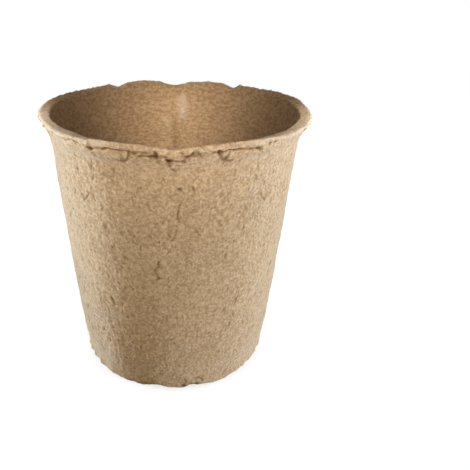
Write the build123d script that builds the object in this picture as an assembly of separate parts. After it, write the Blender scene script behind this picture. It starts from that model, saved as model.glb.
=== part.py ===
from build123d import *

import os
from math import atan2, ceil, cos, degrees, exp, pi, radians, sin, tan

# A round, tapered plant pot of moulded fibre pulp, in millimetres.
# The pot is one moulding. Two level cuts divide it into the zones that a maker would name: the base
# with its heel and drain hole, the plain tapered side wall, and the rim with its uneven lip.
# The origin is the middle of the standing face, and +Z points up through the mouth.
# The front of the pot, where the lip is folded down, faces -Y.

# Outside sizes
RIM_DIAMETER = 60.0  # over the lip
HEIGHT = 60.0  # from the standing face to the lip's edge, before that edge is rounded
BASE_DIAMETER = 45.0  # at the sharp corner that the heel rounds off
COLLAR_DIAMETER = 53.4  # where the straight wall ends and the collar begins

# Thickness of the pulp
WALL_THICKNESS = 1.2
FLOOR_THICKNESS = 1.8
LIP_THICKNESS = 1.1

# Base
HEEL_RADIUS = 2.2  # round the standing face
INNER_HEEL = 1.8  # slope from the floor up to the wall, inside
BASE_LAND = 0.6  # plain wall that stays on the base above its heel
DRAIN_DIAMETER = 8.0

# Collar and lip
COLLAR_HEIGHT = 12.0  # from the top of the side wall to the top of the lip
BEND_HEIGHT = 7.0  # from the bend where the collar turns outwards to the top of the lip
BEND_RADIUS = 25.0
LIP_WIDTH = 2.7  # from the crease inside the mouth to the edge of the lip
LIP_RISE = 1.0  # of the lip's edge above the crease
CREASE_RADIUS = 0.8  # inside the mouth, where the lip turns out
LIP_EDGE_RADIUS = 0.35  # on top; the edge is sharp below

# Dents in the lip: depth at the crease, further drop of the lip's edge, width along the rim
FRONT_FOLD_DEPTH = 0.45
FRONT_FOLD_DROP = 1.3
FRONT_FOLD_WIDTH = 7.2
BACK_FOLD_DEPTH = 1.0
BACK_FOLD_WIDTH = 6.8
NICK_DEPTH = 0.7
NICK_DROP = 0.3
NICK_WIDTH = 3.8
NICK_ANGLE = 31.0  # from the back fold to the nick on either side of it

# Gentle swells round the lip, counted from the back
SWELL_COUNT = 5
SWELL_DEPTH = 0.18

# Fineness of the rim's skin
STATIONS = 120  # round the rim
ARC_STEP = 45.0  # largest turn from ring to ring on the arcs of its section

# Sizes that follow from the ones above
rim_radius = RIM_DIAMETER / 2
base_radius = BASE_DIAMETER / 2
drain_radius = DRAIN_DIAMETER / 2
collar_bottom = HEIGHT - COLLAR_HEIGHT
bend_level = HEIGHT - BEND_HEIGHT
wall_slope = (COLLAR_DIAMETER - BASE_DIAMETER) / 2 / collar_bottom
wall_across = WALL_THICKNESS / cos(atan2(wall_slope, 1))  # wall thickness, measured level
inner_heel_top = FLOOR_THICKNESS + INNER_HEEL
base_top = max(HEEL_RADIUS, inner_heel_top) + BASE_LAND
mouth_radius = rim_radius - LIP_WIDTH  # at the crease
mouth_level = HEIGHT - LIP_RISE
lip_slope = LIP_RISE / LIP_WIDTH
lip_upright = LIP_THICKNESS / cos(atan2(lip_slope, 1))  # lip thickness, measured upright

FRONT = -90.0
BACK = 90.0
DENTS = [
    (FRONT, FRONT_FOLD_DEPTH, FRONT_FOLD_DROP, FRONT_FOLD_WIDTH),
    (BACK, BACK_FOLD_DEPTH, 0.0, BACK_FOLD_WIDTH),
    (BACK - NICK_ANGLE, NICK_DEPTH, NICK_DROP, NICK_WIDTH),
    (BACK + NICK_ANGLE, NICK_DEPTH, NICK_DROP, NICK_WIDTH),
]


def wall_outside(level):
    """Outside radius of the straight tapered wall at a height."""
    return base_radius + wall_slope * level


def wall_inside(level):
    """Inside radius of the straight tapered wall at a height."""
    return wall_outside(level) - wall_across


def rounded(points, radii, close=False):
    """Straight runs joined by arcs, each arc no larger than its two runs have room for."""
    corners = [Vector(point) for point in points]
    if close:
        corners = [corners[-1], *corners, corners[0]]
    fitted = []
    for before, corner, after, radius in zip(corners, corners[1:], corners[2:], radii):
        run_in = corner - before
        run_out = after - corner
        half_turn = radians(run_in.get_angle(run_out)) / 2
        room = 0.48 * min(run_in.length, run_out.length)
        fitted.append(min(radius, room / tan(half_turn)))
    return FilletPolyline(*points, radius=fitted, close=close)


def turned(outline):
    """A closed outline in radius and height, turned about the pot's axis."""
    return revolve(Plane.XZ * make_face(outline), Axis.Z)


def make_base():
    """Floor with its drain hole, and the rounded heel up to the side wall."""
    points = [
        (drain_radius, 0),
        (base_radius, 0),
        (wall_outside(base_top), base_top),
        (wall_inside(base_top), base_top),
        (wall_inside(inner_heel_top), inner_heel_top),
        (wall_inside(FLOOR_THICKNESS) - INNER_HEEL, FLOOR_THICKNESS),
        (drain_radius, FLOOR_THICKNESS),
    ]
    return turned(rounded(points, [0, HEEL_RADIUS, 0, 0, 0, 0, 0], close=True))


def make_side_wall():
    """Plain tapered wall between the base and the collar."""
    points = [
        (wall_outside(base_top), base_top),
        (wall_outside(collar_bottom), collar_bottom),
        (wall_inside(collar_bottom), collar_bottom),
        (wall_inside(base_top), base_top),
    ]
    return turned(Polyline(*points, close=True))


def rim_outline():
    """Section of the rim from the collar's outer foot, over the lip, to its inner foot."""
    root_radius = mouth_radius + wall_across
    root_level = mouth_level + lip_slope * wall_across - lip_upright
    points = [
        (wall_outside(collar_bottom), collar_bottom),
        (wall_outside(bend_level), bend_level),
        (root_radius, root_level),
        (rim_radius, HEIGHT - lip_upright),
        (rim_radius, HEIGHT),
        (mouth_radius, mouth_level),
        (wall_inside(bend_level), bend_level),
        (wall_inside(collar_bottom), collar_bottom),
    ]
    return rounded(points, [BEND_RADIUS, 0, 0, LIP_EDGE_RADIUS, CREASE_RADIUS, BEND_RADIUS])


def outline_points(outline):
    """Ends of the outline's straight runs, and a few points on its longer arcs."""
    points = []
    for edge in outline.edges():
        turn = 0 if edge.geom_type == GeomType.LINE else degrees(edge.length / edge.radius)
        steps = max(1, ceil(turn / ARC_STEP))
        points += [edge @ (step / steps) for step in range(steps)]
    return [*points, outline @ 1]


def dents_at(angle):
    """Depth of the dents at the crease, and further drop of the lip's edge, at an angle."""
    depth = 0.0
    drop = 0.0
    for dent_angle, dent_depth, dent_drop, dent_width in DENTS:
        away = (angle - radians(dent_angle) + pi) % (2 * pi) - pi
        bell = exp(-((2 * away * rim_radius / dent_width) ** 2))
        depth += bell * dent_depth
        drop += bell * dent_drop
    return depth, drop


def ring(radius, level):
    """Closed curve round the rim through one point of its section, more uneven nearer the lip."""
    climb = min(1.0, (level - collar_bottom) / (mouth_level - collar_bottom))
    reach = min(1.0, max(0.0, (radius - mouth_radius) / LIP_WIDTH))
    uneven = climb * climb
    points = []
    for station in range(STATIONS):
        angle = 2 * pi * station / STATIONS
        depth, drop = dents_at(angle)
        swell = SWELL_DEPTH * cos(SWELL_COUNT * (angle - radians(BACK)))
        out = radius + uneven * swell
        up = level - uneven * (depth + reach * drop)
        points.append((out * cos(angle), out * sin(angle), up))
    return Wire([Edge.make_spline(points, periodic=True)])


def make_rim():
    """Collar and lip, skinned over rings that follow the section and closed by its level foot."""
    rings = [ring(point.X, point.Y) for point in outline_points(rim_outline())]
    strips = Shell.make_loft(rings, ruled=True).faces()
    foot = Face(rings[0], [rings[-1]])
    return Solid(Shell([*strips, foot]))


ZONES = {
    "base": make_base,
    "side_wall": make_side_wall,
    "rim": make_rim,
}

os.makedirs("parts", exist_ok=True)
for name, make_zone in ZONES.items():
    zone = make_zone()
    zone.label = name
    export_step(zone, f"parts/{name}.step")
    print(name, "volume", round(zone.volume, 1), "mm3")
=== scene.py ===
import math

import bpy
import numpy as np
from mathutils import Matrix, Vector


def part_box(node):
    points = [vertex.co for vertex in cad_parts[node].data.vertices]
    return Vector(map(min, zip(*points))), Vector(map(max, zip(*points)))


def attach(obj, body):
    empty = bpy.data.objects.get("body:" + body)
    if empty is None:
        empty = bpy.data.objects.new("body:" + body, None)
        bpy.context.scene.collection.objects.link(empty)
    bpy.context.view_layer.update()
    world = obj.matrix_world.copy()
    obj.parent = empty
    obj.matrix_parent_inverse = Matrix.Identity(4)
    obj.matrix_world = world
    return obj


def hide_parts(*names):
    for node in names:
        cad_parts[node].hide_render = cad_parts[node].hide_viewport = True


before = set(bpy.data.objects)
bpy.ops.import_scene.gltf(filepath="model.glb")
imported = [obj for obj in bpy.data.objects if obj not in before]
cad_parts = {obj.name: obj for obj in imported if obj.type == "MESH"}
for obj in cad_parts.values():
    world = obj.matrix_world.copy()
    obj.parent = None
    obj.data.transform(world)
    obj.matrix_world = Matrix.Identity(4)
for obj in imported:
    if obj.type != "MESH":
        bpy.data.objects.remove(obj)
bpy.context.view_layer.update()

# A round, tapered plant pot of moulded fibre pulp, standing mouth up on a pale floor.
# Lengths are in millimetres until a mesh is made. A turn is an angle round the pot in degrees,
# counted from the front of the pot at -Y, positive towards +X.

MM = 0.001
SEED = 7

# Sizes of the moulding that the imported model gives
base_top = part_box("base")[1].z / MM
collar_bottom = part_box("rim")[0].z / MM
foot_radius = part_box("base")[1].x / MM
head_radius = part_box("side_wall")[1].x / MM

# Sizes of the moulding that shape its section
RIM_RADIUS = 30.0
HEIGHT = 60.0
WALL_THICKNESS = 1.2
FLOOR_THICKNESS = 1.8
LIP_THICKNESS = 1.1
HEEL_RADIUS = 1.0
INNER_HEEL = 1.8
DRAIN_RADIUS = 4.0
BEND_LEVEL = 53.0
BEND_RADIUS = 25.0
LIP_WIDTH = 2.7
LIP_RISE = 1.0
CREASE_RADIUS = 0.7
LIP_EDGE_RADIUS = 0.45
# Level inside the mouth where the lip ends, and how far in from the base's edge the heel starts
LIP_END_LEVEL = 57.4
HEEL_WIDTH = 3.0
# The lower wall draws in a little above the heel: depth, level and spread
WAIST_DEPTH = 0.42
WAIST_LEVEL = 2.8
WAIST_SPREAD = 2.6

wall_slope = (head_radius - foot_radius) / (collar_bottom - base_top)
wall_across = WALL_THICKNESS * math.hypot(1, wall_slope)
base_radius = foot_radius - wall_slope * base_top
mouth_radius = RIM_RADIUS - LIP_WIDTH
mouth_level = HEIGHT - LIP_RISE
lip_slope = LIP_RISE / LIP_WIDTH
lip_upright = LIP_THICKNESS * math.hypot(1, lip_slope)
root_radius = mouth_radius + wall_across
root_level = mouth_level + lip_slope * wall_across - lip_upright
wall_middle = (base_top + collar_bottom) / 2

# Fineness of the shell: columns round the pot, and steps along its section
COLUMNS = 840
FLAT_STEP = 0.9
HEEL_STEP = 0.24
WALL_STEP = 0.28
COLLAR_STEP = 0.24
LIP_STEP = 0.15
INSIDE_STEP = 1.0
INSIDE_COLLAR_STEP = 0.45
# Rings on each side over which the strength of the relief is evened out
SMOOTH_RINGS = 3

# Folds, nicks and spikes of the lip: turn, depth at the crease, further drop of the edge, width
LIP_DENTS = [
    (0, 0.35, 0.35, 7.2),
    (180, 1, 0, 6.8),
    (149.5, 0.6, 0.2, 3.4),
    (-150.5, 0.55, 0.15, 3.8),
    (145, 0, -0.35, 1.4),
    (-145.5, 0, -0.42, 1.6),
    (-163, -0.3, 0, 12),
    (-24, -0.2, 0, 12),
    (24, -0.2, 0, 12),
]
# Where the lip turns over outwards: turn, half width, drop of the edge, lift of the crease
LIP_DROOPS = [(-72, 34, 0.4, 0.55), (70, 30, 0.85, 0.2)]
DROOP_RAMP = 22.0
DROOP_BULGE = 0.3
# Where the lip's edge is pressed in: turn, half width, depth
LIP_PINCHES = [(-70, 17, 0.5), (70, 17, 0.1)]
# Where the lip's outer face slopes in below its edge: turn, half width, depth
LIP_CHAMFERS = [(-74, 36, 0.8), (74, 36, 0.6)]
CHAMFER_RAMP = 20.0
# Swells of the lip, and its ragged, frayed edge. Waves: how many, and the number of the first.
SWELL_COUNT = 5
SWELL_DEPTH = 0.18
RAGGED_DEPTH = 0.12
RAGGED_WAVES = (60, 6)
FRAY_DEPTH = 0.11
FRAY_WAVES = (90, 60)
# Behind its two sides the lip is narrower: by how much, half the width of the rest, and the ramp
NARROWING = 0.9
NARROW_TURN = 100.0
NARROW_RAMP = 22.0
# Away from front and back the edge is frayed further: depth, half the width of either, ramp
SIDE_FRAY_DEPTH = 0.2
FRAY_FRONT_TURN = 56.0
FRAY_BACK_TURN = 26.0
FRAY_RAMP = 24.0
# Pulp fills the corner under the lip: height of the fill, its share of the corner all round,
# a further share at the front, and half the width of that stretch
FILL_HEIGHT = 3.6
FILL_SHARE = 0.36
FRONT_FILL_SHARE = 0.2
FRONT_FILL_TURN = 48.0
FRONT_FILL_RAMP = 20.0
# Flaps of pulp under the lip: turn, half width below and above, level below and above, thickness
LIP_FLAPS = [
    (0, 2.6, 6.2, 56.9, 58.9, 0.4),
    (-10.6, 4, 4.4, 57.75, 58.7, 0.25),
    (10.6, 4, 4.4, 57.75, 58.7, 0.2),
    (-17.6, 0.9, 1.3, 56.5, 58.6, 0.3),
    (17.6, 0.9, 1.3, 56.5, 58.6, 0.3),
]
# How softly a flap ends: at its sides in degrees, at its lower end and at its upper end
FLAP_SIDE_RAMP = 0.6
FLAP_LOW_RAMP = 0.25
FLAP_HIGH_RAMP = 0.8
# The heel's edge: depth of its scallops, lift of its ragged edge off the floor, height it reaches
SCALLOP_DEPTH = 0.3
HEEL_LIFT = 0.3
SCALLOP_HEIGHT = 2.4
SCALLOP_WAVES = (20, 8)
LIFT_WAVES = (18, 7)
# The floor is flat inside this radius. Ramps lead from it to the wall, and over the heel.
FLOOR_RADIUS = 15.0
FLOOR_RAMP = 4.0
HEEL_RAMP = 2.0
# Places where the heel's edge is lifted off the floor: turn, half width, lift
HEEL_NOTCHES = [(-9, 6.5, 0.55), (9, 3.6, 0.7), (17, 6, 0.3), (38, 5, 0.45), (52, 9, 0.5)]
# Places where the lower wall is pressed in: turn, half width, depth
FOOT_PINCHES = [(62, 26, 0.42), (-74, 16, 0.32)]
PINCH_HEIGHT = 14.0

# Marks: line of turns and levels, half width, depth (raised if below 0), shade (paler if below 0).
# A mark's shade is painted shade in its groove or crease, and painted light where it is paler.
# These come in pairs, one on each side of the front.
PAIRED_MARKS = [
    ([(13.5, 58.3), (16, 58.35), (18.3, 58.45), (21, 58.55), (25, 58.45), (29, 58.2), (32.5, 57.95)],
     0.22, 0.45, 0.75),
    ([(31.5, 58.05), (33, 57.9)], 0.3, 0.5, 0.8),
    ([(16, 58.6), (16.2, 57.8), (17.2, 56.9), (18.7, 56.3), (21, 56.1), (22, 56.2)], 0.27, 0.32, 0.6),
    ([(19, 57.5), (18.7, 56.7)], 0.34, 0.3, 0.75),
    ([(19.9, 57.3), (20.4, 57.1)], 0.4, -0.2, -0.4),
    ([(17.5, 57.9), (17.7, 57.5)], 0.4, -0.15, -0.35),
    ([(39.8, 59), (38.3, 58.9)], 0.22, 0.3, 0.75),
    ([(37, 58.9), (36.2, 58.7)], 0.22, 0.3, 0.7),
    ([(36.2, 58.7), (36.8, 57.9)], 0.15, 0.15, 0.3),
    ([(39.3, 47.6), (40.5, 46.8), (41.6, 46.3), (43.2, 45.6)], 0.2, 0.2, 0.6),
    ([(43.1, 45.9), (44.3, 46.8)], 0.18, 0.15, 0.4),
    ([(34.9, 51.9), (35.5, 51.2), (36, 50.7)], 0.22, 0.2, 0.55),
    ([(35, 54.2), (35.8, 52.9)], 0.2, 0.15, 0.4),
    ([(31.6, 45.5), (33, 44.4)], 0.2, 0.15, 0.45),
    ([(32, 41.1), (31.4, 40.3)], 0.2, 0.15, 0.55),
    ([(33.5, 23.9), (32.6, 22.7), (31.5, 21.7)], 0.2, 0.2, 0.5),
    ([(30.4, 17.4), (29.8, 16.1)], 0.18, 0.15, 0.45),
    ([(24.5, 54.1), (24.2, 52.8)], 0.18, 0.12, 0.35),
    ([(24, 35.2), (23, 34.5)], 0.25, 0.15, 0.4),
]
LONE_MARKS = [
    ([(-15, 58.5), (-10.7, 58.5), (-8.3, 58.6)], 0.2, 0.25, 0.35),
    ([(-13, 57.6), (-10.2, 57.8), (-8.4, 57.7), (-6.2, 57.7)], 0.27, 0.4, 0.75),
    ([(-8, 57.8), (-6.5, 57.6)], 0.4, 0.3, 0.85),
    ([(-6.9, 58.6), (-5.3, 58.3), (-3.6, 57.7), (-2.3, 56.9)], 0.32, 0.3, 0.55),
    ([(-5.9, 56.6), (-5.8, 56.2)], 0.4, 0.2, 0.42),
    ([(-3.3, 57.1), (-2.1, 56.8), (0.2, 56.8), (2.3, 56.7)], 0.3, 0.35, 0.55),
    ([(-2.6, 56.9), (-1.8, 56.7)], 0.36, 0.3, 0.95),
    ([(2, 58.7), (3.2, 58.2), (3.9, 57.7)], 0.4, 0.25, 0.42),
    ([(-2, 56.5), (-1.9, 55.7)], 0.3, 0.25, 0.6),
    ([(-0.6, 54.9), (-0.2, 54.7)], 0.42, 0.3, 0.75),
    ([(1.1, 55.9), (1.8, 55.7)], 0.3, 0.25, 0.6),
    ([(2.6, 56.7), (3.4, 56.4)], 0.4, 0.25, 0.6),
    ([(0.3, 56.4), (2.4, 56.1)], 0.3, -0.25, -0.55),
    ([(-0.8, 55.6), (-0.2, 55.3)], 0.3, -0.2, -0.45),
    ([(4.1, 57.6), (5.5, 58)], 0.36, 0.25, 0.6),
    ([(6.2, 58.6), (7, 57.9), (8.2, 57.8)], 0.4, 0.3, 0.65),
    ([(8.5, 58.4), (9, 57.5)], 0.32, 0.25, 0.4),
    ([(9, 57.7), (13, 57.9)], 0.25, 0.2, 0.28),
    ([(1.6, 50.6), (2.6, 50.6)], 0.26, 0.25, 0.62),
    ([(7.1, 51.1), (8.4, 49.7)], 0.2, 0.15, 0.45),
    ([(2, 47.3), (1.6, 46), (1.2, 45.1), (1.4, 43.8)], 0.2, 0.2, 0.4),
    ([(7.4, 46.3), (8.2, 45.9)], 0.22, 0.15, 0.45),
    ([(-2.8, 41.2), (-2.3, 40.9)], 0.25, 0.2, 0.55),
    ([(-3.2, 37.5), (-2.6, 36.8)], 0.22, 0.15, 0.4),
    ([(-4.3, 44.9), (-4.8, 43.3)], 0.2, 0.12, 0.3),
    ([(0.2, 40.7), (-1.3, 39.6)], 0.2, 0.12, 0.35),
    ([(-7, 34.6), (-7.5, 33.4), (-8.9, 32.4), (-8.5, 31.7), (-7.6, 30.8)], 0.2, 0.22, 0.48),
    ([(4.7, 35.4), (5.2, 34.4)], 0.2, 0.12, 0.35),
    ([(-9, 49.4), (-6.7, 47.8)], 0.2, 0.12, 0.3),
    ([(19, 49.1), (19.9, 48.9)], 0.24, 0.15, 0.5),
    ([(14, 47.6), (13.9, 46.7)], 0.2, 0.12, 0.3),
    ([(-18.2, 40.8), (-17.4, 40.1)], 0.24, 0.15, 0.35),
    ([(-25.6, 32.7), (-24.7, 32.1)], 0.2, 0.15, 0.5),
    ([(18.1, 14.9), (19, 14.7)], 0.24, 0.15, 0.4),
    ([(10.8, 17.1), (11.9, 16.8)], 0.24, 0.15, 0.45),
    ([(2.2, 7.5), (3, 7.2)], 0.24, 0.15, 0.45),
    ([(-7, 16.2), (-5.5, 14.9), (-3.9, 14.7)], 0.2, 0.12, 0.3),
    ([(-3.4, 15.2), (-0.8, 13.9), (0.3, 12.7)], 0.2, 0.12, 0.3),
    ([(13, 3.1), (16.7, 2.2)], 0.3, 0.2, 0.45),
    ([(6, 2.9), (6.6, 2)], 0.25, 0.2, 0.5),
    ([(-4.7, 12.4), (-4.3, 12.4)], 0.25, -0.15, -0.7),
    ([(7.3, 12.4), (7.7, 12.4)], 0.25, -0.15, -0.7),
    ([(-7.5, 24.5), (-7.1, 24.5)], 0.25, -0.15, -0.6),
    ([(28.6, 53.2), (29, 53.2)], 0.3, -0.15, -0.5),
    # The last three are painted shadow under the heel's lifted edge
    ([(-27, 0.8), (-20, 0.8)], 0.4, 0.08, 0.3),
    ([(-18, 0.9), (-10, 1)], 0.46, 0.1, 0.5),
    ([(5.5, 1.05), (9, 1.2), (14, 0.9)], 0.44, 0.1, 0.85),
]
# Inside the mouth: an upright crease at the back, with painted shade on its top and painted light on
# one side
INNER_MARKS = [
    ([(179.6, 50), (179.4, 44), (179.6, 37)], 1.2, 0.35, 0.26),
    ([(178.8, 57.4), (179.4, 56.4)], 1, 0.2, 0.3),
    ([(175.6, 56), (175, 51.5)], 1.7, -0.1, -0.4),
    ([(-175, 50.6), (-176, 49.4)], 1.1, -0.1, -0.3),
]
# How uneven marks are: sway in degrees, bend up and down, swell of width, fading, and waves
MARK_SWAY = 0.2
MARK_BEND = 0.09
MARK_SWELL = 0.25
MARK_FADE = 0.15
RIPPLE_WAVES = 7
RIPPLE_LENGTHS = (0.9, 2.6)
# How far round a mark the shell is worked: in half widths, further, and further up and down.
# No mark is nearer to the pot's axis than the last value.
MARK_REACH = 3.0
MARK_MARGIN = 0.6
RING_MARGIN = 1.5
LEAST_RADIUS = 20.0
# The sides and back carry strays of the same kind: first turn, count, ranges of level and length,
# spread of the lean in degrees and of the bow, and ranges of half width, depth and shade
STRAY_TURN = 52.0
STRAY_COUNT = 90
STRAY_LEVELS = (5.0, 56.0)
STRAY_LENGTHS = (0.4, 1.8)
STRAY_LEAN = 40.0
STRAY_BOW = 0.4
STRAY_CUTS = [(0.18, 0.26), (0.1, 0.22), (0.25, 0.6)]
# Creases under the lip there, darkened with painted shade: arcs, level and its spread, degrees
# between points, and half width, depth and shade
STRAY_CREASES = [(58, 80), (96, 124), (133, 141), (158, 172), (188, 204), (222, 246), (268, 300)]
CREASE_LEVEL = 58.4
CREASE_SPREAD = 0.12
CREASE_STEP = 3.0
CREASE_CUT = (0.18, 0.45, 0.7)
# A hook hangs from each: share of the arc where it starts, line, half width and depth, shade
HOOK_STARTS = (0.1, 0.3)
HOOK_LINE = [(0.0, 58.2), (0.4, 57.2), (1.5, 56.4), (3.5, 56.2)]
HOOK_CUT = (0.2, 0.3)
HOOK_SHADES = (0.4, 0.8)

# How much paler the lip and the collar below it are painted, as painted light: on stretches at its
# sides (turn, half width and amount), along its edge, and further along the edge at the back. The
# sides are uneven by a share of their amount. The painted light starts at a level on the collar,
# grows over a height, and fades inwards at the crease.
PAINTED_LIGHT_SIDES = [(-72, 52, 0.36), (76, 48, 0.3)]
PAINTED_LIGHT_RAMP = 20.0
PAINTED_LIGHT_UNEVEN = 0.3
PAINTED_LIGHT_WAVES = (40, 10)
EDGE_PAINTED_LIGHT = 0.14
BACK_EDGE_PAINTED_LIGHT = 0.28
PAINTED_LIGHT_LEVEL = 53.5
PAINTED_LIGHT_HEIGHT = 5.5
PAINTED_LIGHT_MARGIN = 0.2
PAINTED_LIGHT_WIDTH = 0.6
# Half the width of the stretch at the front where the whole top of the lip gets painted light
FRONT_PAINTED_LIGHT_TURN = 92.0
FRONT_PAINTED_LIGHT_RAMP = 40.0
# The nap is rubbed down near the lip: what is left of it, from which level, over what height
LIP_NAP = 0.3
NAP_LEVEL = 54.0
NAP_RAMP = 4.5

# Relief of the whole shell: heights, and patterns as their size, detail, roughness, distortion,
# stretch along each axis and shift
RELIEF_HEIGHTS = {"Lump Height": 0.6, "Mat Height": 0.22, "Grain Height": 0.27, "Pit Depth": 0.12}
LUMPS = (6.0, 2.0)
MATTING = (2.2, 2.0, 0.5, 0.6)
FINE_LUMPS = (0.95, 2.0)
PITS = (1.1, 1, 0.5, 0, (1, 1, 0.7), (0.3, 0, 0))
# Where in its pattern a pit starts and is full, and how dark it is painted, as painted shade in its
# hollow
PIT_LIMITS = (0.68, 0.78)
PIT_SHADE = 0.4

# Surface fibres: how many on a square metre of the outside, and sizes of one fibre
FIBRE_DENSITY = 120000.0
FIBRE_LENGTH = 1.2
FIBRE_RADIUS = 0.042
FIBRE_BENDS = [-0.35, 0.12, 0.5]
FIBRE_SCALES = (0.45, 1.25)
# Dip of a fibre's ends and rise of its middle, in radii, taper of its ends, sides and steps
FIBRE_DIP = 0.7
FIBRE_RISE = 0.8
FIBRE_TAPER = 0.6
FIBRE_SIDES = 5
FIBRE_STEPS = 5
# Below this level the heel is rubbed free of fibres. Dark marks have fewer the darker they are.
FUZZ_LEVEL = 1.0
FUZZ_LOSS = 2.5


class Socket:
    """An output of a node. Sums on it add Math nodes."""

    def __init__(self, graph, link):
        self.graph = graph
        self.link = link

    def out(self, name):
        """Another output of the same node."""
        return Socket(self.graph, self.graph.pick(self.link.node.outputs, name))

    def __add__(self, other):
        return self.graph.sum("ADD", self, other)

    def __radd__(self, other):
        return self.graph.sum("ADD", other, self)

    def __sub__(self, other):
        return self.graph.sum("SUBTRACT", self, other)

    def __rsub__(self, other):
        return self.graph.sum("SUBTRACT", other, self)

    def __mul__(self, other):
        return self.graph.sum("MULTIPLY", self, other)

    def __rmul__(self, other):
        return self.graph.sum("MULTIPLY", other, self)

    def __pow__(self, other):
        return self.graph.sum("POWER", self, other)

    def __abs__(self):
        return self.graph.sum("ABSOLUTE", self)


class Graph:
    """Adds nodes to one shader or geometry tree."""

    def __init__(self, tree):
        self.tree = tree

    @staticmethod
    def pick(sockets, name):
        """The socket of a node by its place, identifier or name."""
        if isinstance(name, int):
            return sockets[name]
        for socket in sockets:
            if socket.identifier == name:
                return socket
        return sockets[name]

    def put(self, socket, value):
        """Sets an input: a value, a link, or a list of links for an input that takes several."""
        if isinstance(value, list):
            for part in value:
                self.put(socket, part)
        elif isinstance(value, Socket):
            self.tree.links.new(value.link, socket)
        else:
            socket.default_value = value

    def node(self, kind, settings=None, sockets=None, output=0):
        """A new node with its settings made first, then its socket values and links."""
        made = self.tree.nodes.new(kind)
        for name, value in (settings or {}).items():
            setattr(made, name, value)
        for name, value in (sockets or {}).items():
            self.put(self.pick(made.inputs, name), value)
        if not made.outputs:
            return None
        return Socket(self, self.pick(made.outputs, output))

    def sum(self, operation, *terms):
        """One Math node."""
        return self.node("ShaderNodeMath", {"operation": operation}, dict(enumerate(terms)))

    def ease(self, value, low, high):
        """0 below low, 1 above high, with a smooth climb between."""
        sockets = {"Value": value, "From Min": low, "From Max": high}
        return self.node("ShaderNodeMapRange", {"interpolation_type": "SMOOTHSTEP"}, sockets)

    def noise(self, place, size, detail, roughness=0.5, distortion=0.0, stretch=None, shift=None):
        """Noise with lumps of about one size in millimetres, stretched by axis and moved."""
        if stretch:
            sockets = {0: place, 1: stretch, 2: shift}
            settings = {"operation": "MULTIPLY_ADD"}
            place = self.node("ShaderNodeVectorMath", settings, sockets, "Vector")
        sockets = {"Vector": place, "Scale": 1.0 / (size * MM), "Detail": detail}
        sockets |= {"Roughness": roughness, "Distortion": distortion}
        return self.node("ShaderNodeTexNoise", {}, sockets, "Fac")

    def blend(self, share, first, second):
        """A colour between two colours."""
        sockets = {"Factor_Float": share, "A_Color": first, "B_Color": second}
        return self.node("ShaderNodeMix", {"data_type": "RGBA"}, sockets, "Result_Color")

    def kept(self, name):
        """A number that a mesh keeps for each point, in a geometry tree."""
        return self.node("GeometryNodeInputNamedAttribute", {"data_type": "FLOAT"}, {"Name": name})

    def keep(self, geometry, domain, name, value):
        """Geometry that keeps a number for each point or instance."""
        settings = {"data_type": "FLOAT", "domain": domain}
        sockets = {"Geometry": geometry, "Name": name, "Value": value}
        return self.node("GeometryNodeStoreNamedAttribute", settings, sockets)

    def painted(self, name):
        """A number that a mesh keeps for each point, in a material."""
        return self.node("ShaderNodeAttribute", {"attribute_name": name}, {}, "Fac")


def geometry_tree(name, sizes):
    """A geometry tree with a geometry input and a number input for each named size."""
    tree = bpy.data.node_groups.new(name, "GeometryNodeTree")
    tree.interface.new_socket("Geometry", in_out="INPUT", socket_type="NodeSocketGeometry")
    for label in sizes:
        tree.interface.new_socket(label, in_out="INPUT", socket_type="NodeSocketFloat")
    tree.interface.new_socket("Geometry", in_out="OUTPUT", socket_type="NodeSocketGeometry")
    graph = Graph(tree)
    return graph, graph.node("NodeGroupInput")


def end_tree(graph, geometry, material):
    """Closes a geometry tree with plain geometry that carries its material."""
    plain = graph.node("GeometryNodeRealizeInstances", {}, {"Geometry": geometry})
    dressed = graph.node("GeometryNodeSetMaterial", {}, {"Geometry": plain, "Material": material})
    graph.node("NodeGroupOutput", {}, {0: dressed})


def run_tree(piece, tree, sizes):
    """Turns what a geometry tree makes of a piece into the piece's own plain mesh."""
    modifier = piece.modifiers.new(tree.name, "NODES")
    modifier.node_group = tree
    for item in tree.interface.items_tree:
        if item.in_out == "INPUT" and item.name in sizes:
            modifier[item.identifier] = float(sizes[item.name])
    depsgraph = bpy.context.evaluated_depsgraph_get()
    made = bpy.data.meshes.new_from_object(
        piece.evaluated_get(depsgraph), preserve_all_data_layers=True, depsgraph=depsgraph
    )
    piece.modifiers.remove(modifier)
    piece.data = made


def add_object(name, data):
    """A new object in the scene."""
    piece = bpy.data.objects.new(name, data)
    bpy.context.scene.collection.objects.link(piece)
    return piece


def wall_outside(level):
    """Outside radius of the straight tapered wall."""
    return base_radius + wall_slope * level


def wall_inside(level):
    """Inside radius of the straight tapered wall."""
    return wall_outside(level) - wall_across


def rounded_path(corners, step):
    """Points along straight runs joined by arcs. A corner is radius, level and rounding."""
    path = [np.array(corners[0][:2])]

    def straight_to(stop):
        start = path[-1]
        count = max(1, round(float(np.linalg.norm(stop - start)) / step))
        path.extend(start + (stop - start) * k / count for k in range(1, count + 1))

    for before, corner, after in zip(corners, corners[1:], corners[2:]):
        here = np.array(corner[:2])
        run_in = here - np.array(before[:2])
        run_out = np.array(after[:2]) - here
        along = run_in / np.linalg.norm(run_in)
        away = run_out / np.linalg.norm(run_out)
        turn = math.acos(max(-1.0, min(1.0, float(along @ away))))
        rounding = corner[2]
        if rounding <= 0 or turn < 1e-6:
            straight_to(here)
            continue
        straight_to(here - along * rounding * math.tan(turn / 2))
        inward = away - along * float(along @ away)
        inward /= np.linalg.norm(inward)
        centre = path[-1] + inward * rounding
        count = max(2, round(rounding * turn / step))
        for k in range(1, count + 1):
            angle = turn * k / count
            path.append(centre + rounding * (along * math.sin(angle) - inward * math.cos(angle)))
    straight_to(np.array(corners[-1][:2]))
    return path


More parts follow.
